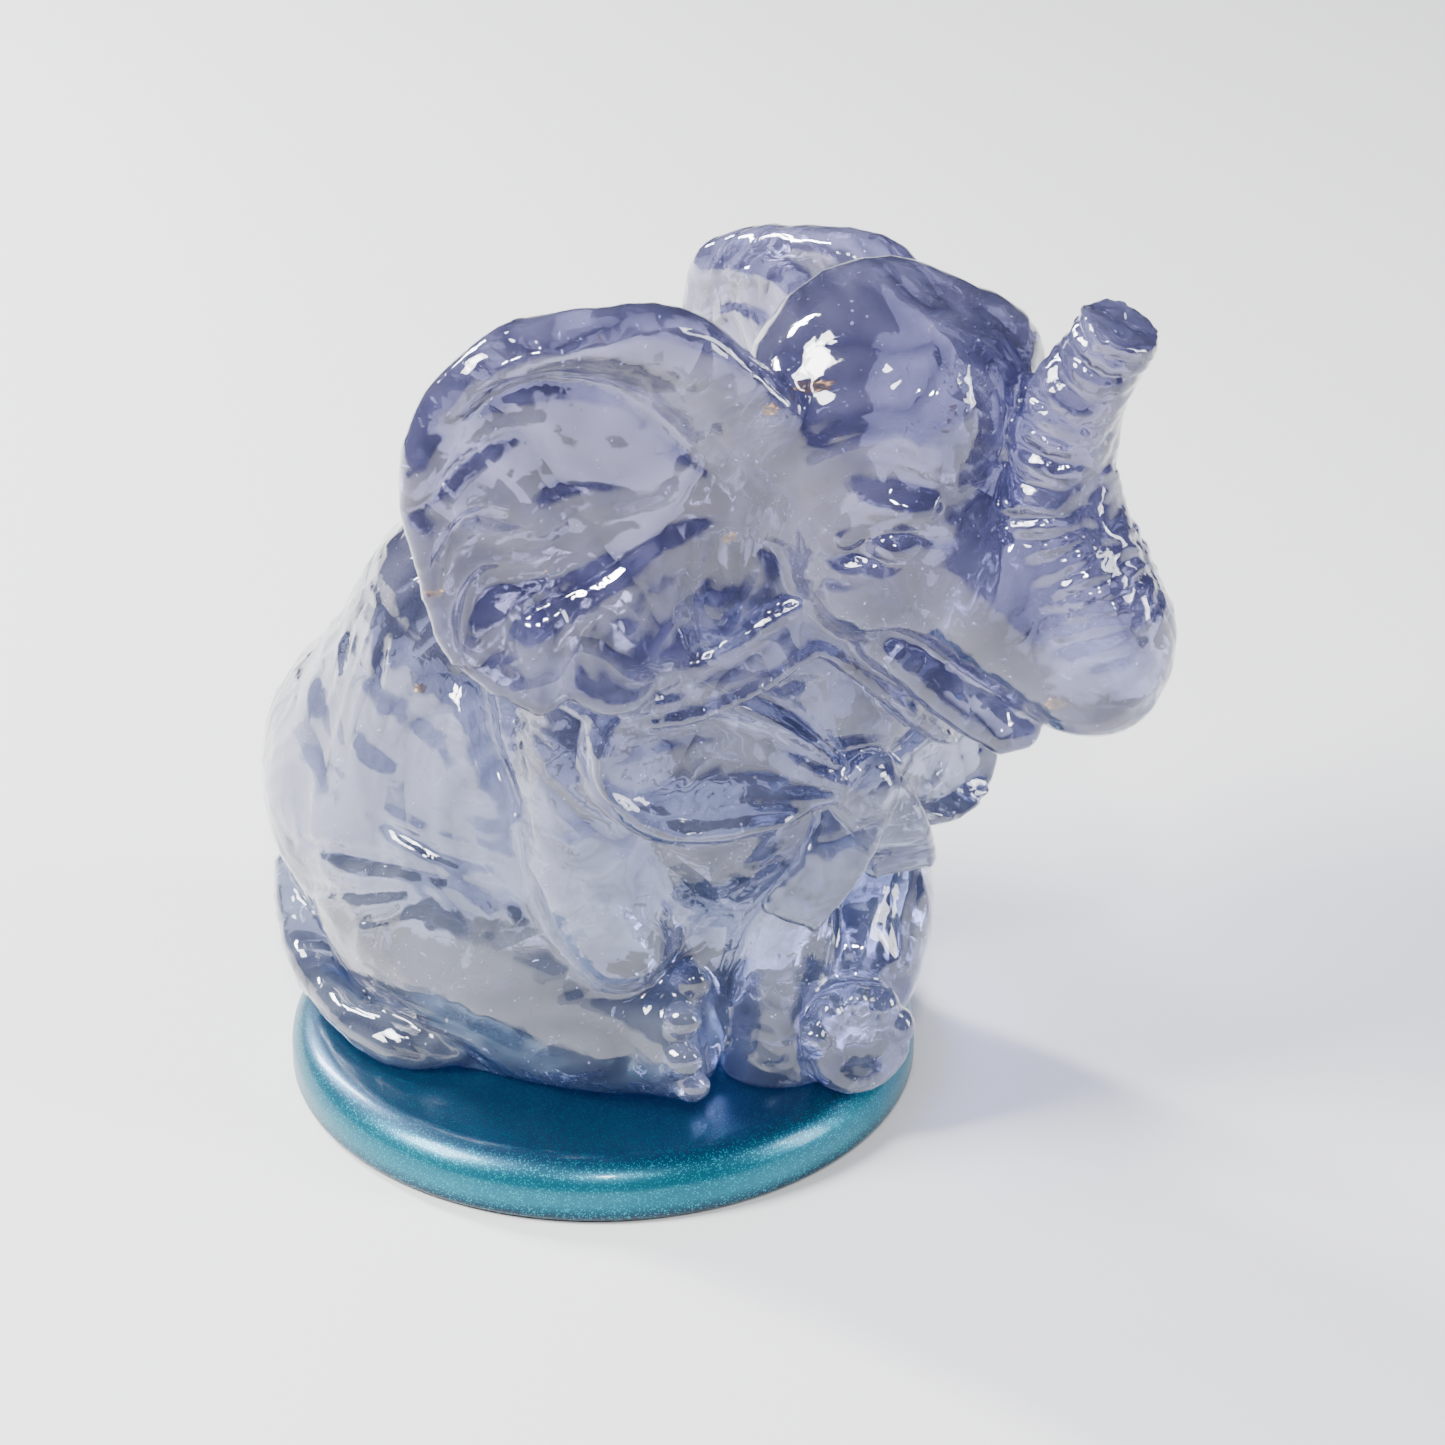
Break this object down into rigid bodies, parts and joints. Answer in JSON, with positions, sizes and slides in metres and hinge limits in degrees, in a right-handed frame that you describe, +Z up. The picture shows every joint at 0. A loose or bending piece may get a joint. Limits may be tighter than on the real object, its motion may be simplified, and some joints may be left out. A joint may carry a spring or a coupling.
{
  "type": "resin elephant figurine",
  "caption": "Seated baby elephant with a bow, cast in clear tinted resin on a round teal base, trunk raised, gold leaf sealed inside.",
  "frame": {"origin": "centre of the base's underside", "axes": "+Z up through the figure; the figure's body faces -Y, so its right side is -X"},
  "size_m": [0.0648, 0.0939, 0.0891],
  "materials": {
    "clear_resin": "polished clear casting resin with a faint lavender-blue tint",
    "teal_resin": "gloss teal resin carrying fine pearl mica",
    "gold_leaf": "thin bright metal leaf"
  },
  "bodies": {
    "root": {"base_disc": "teal_resin", "torso": "clear_resin", "head": "clear_resin", "lower_jaw": "clear_resin", "trunk": "clear_resin", "right_ear": "clear_resin", "left_ear": "clear_resin", "right_front_leg": "clear_resin", "left_front_leg": "clear_resin", "right_hind_leg": "clear_resin", "left_hind_leg": "clear_resin", "right_hind_foot": "clear_resin", "left_hind_foot": "clear_resin", "tail": "clear_resin", "neck_ribbon": "clear_resin", "bow_knot": "clear_resin", "right_bow_loop": "clear_resin", "left_bow_loop": "clear_resin", "right_bow_tail": "clear_resin", "left_bow_tail": "clear_resin", "gold_flakes": "gold_leaf"}
  },
  "joints": []
}
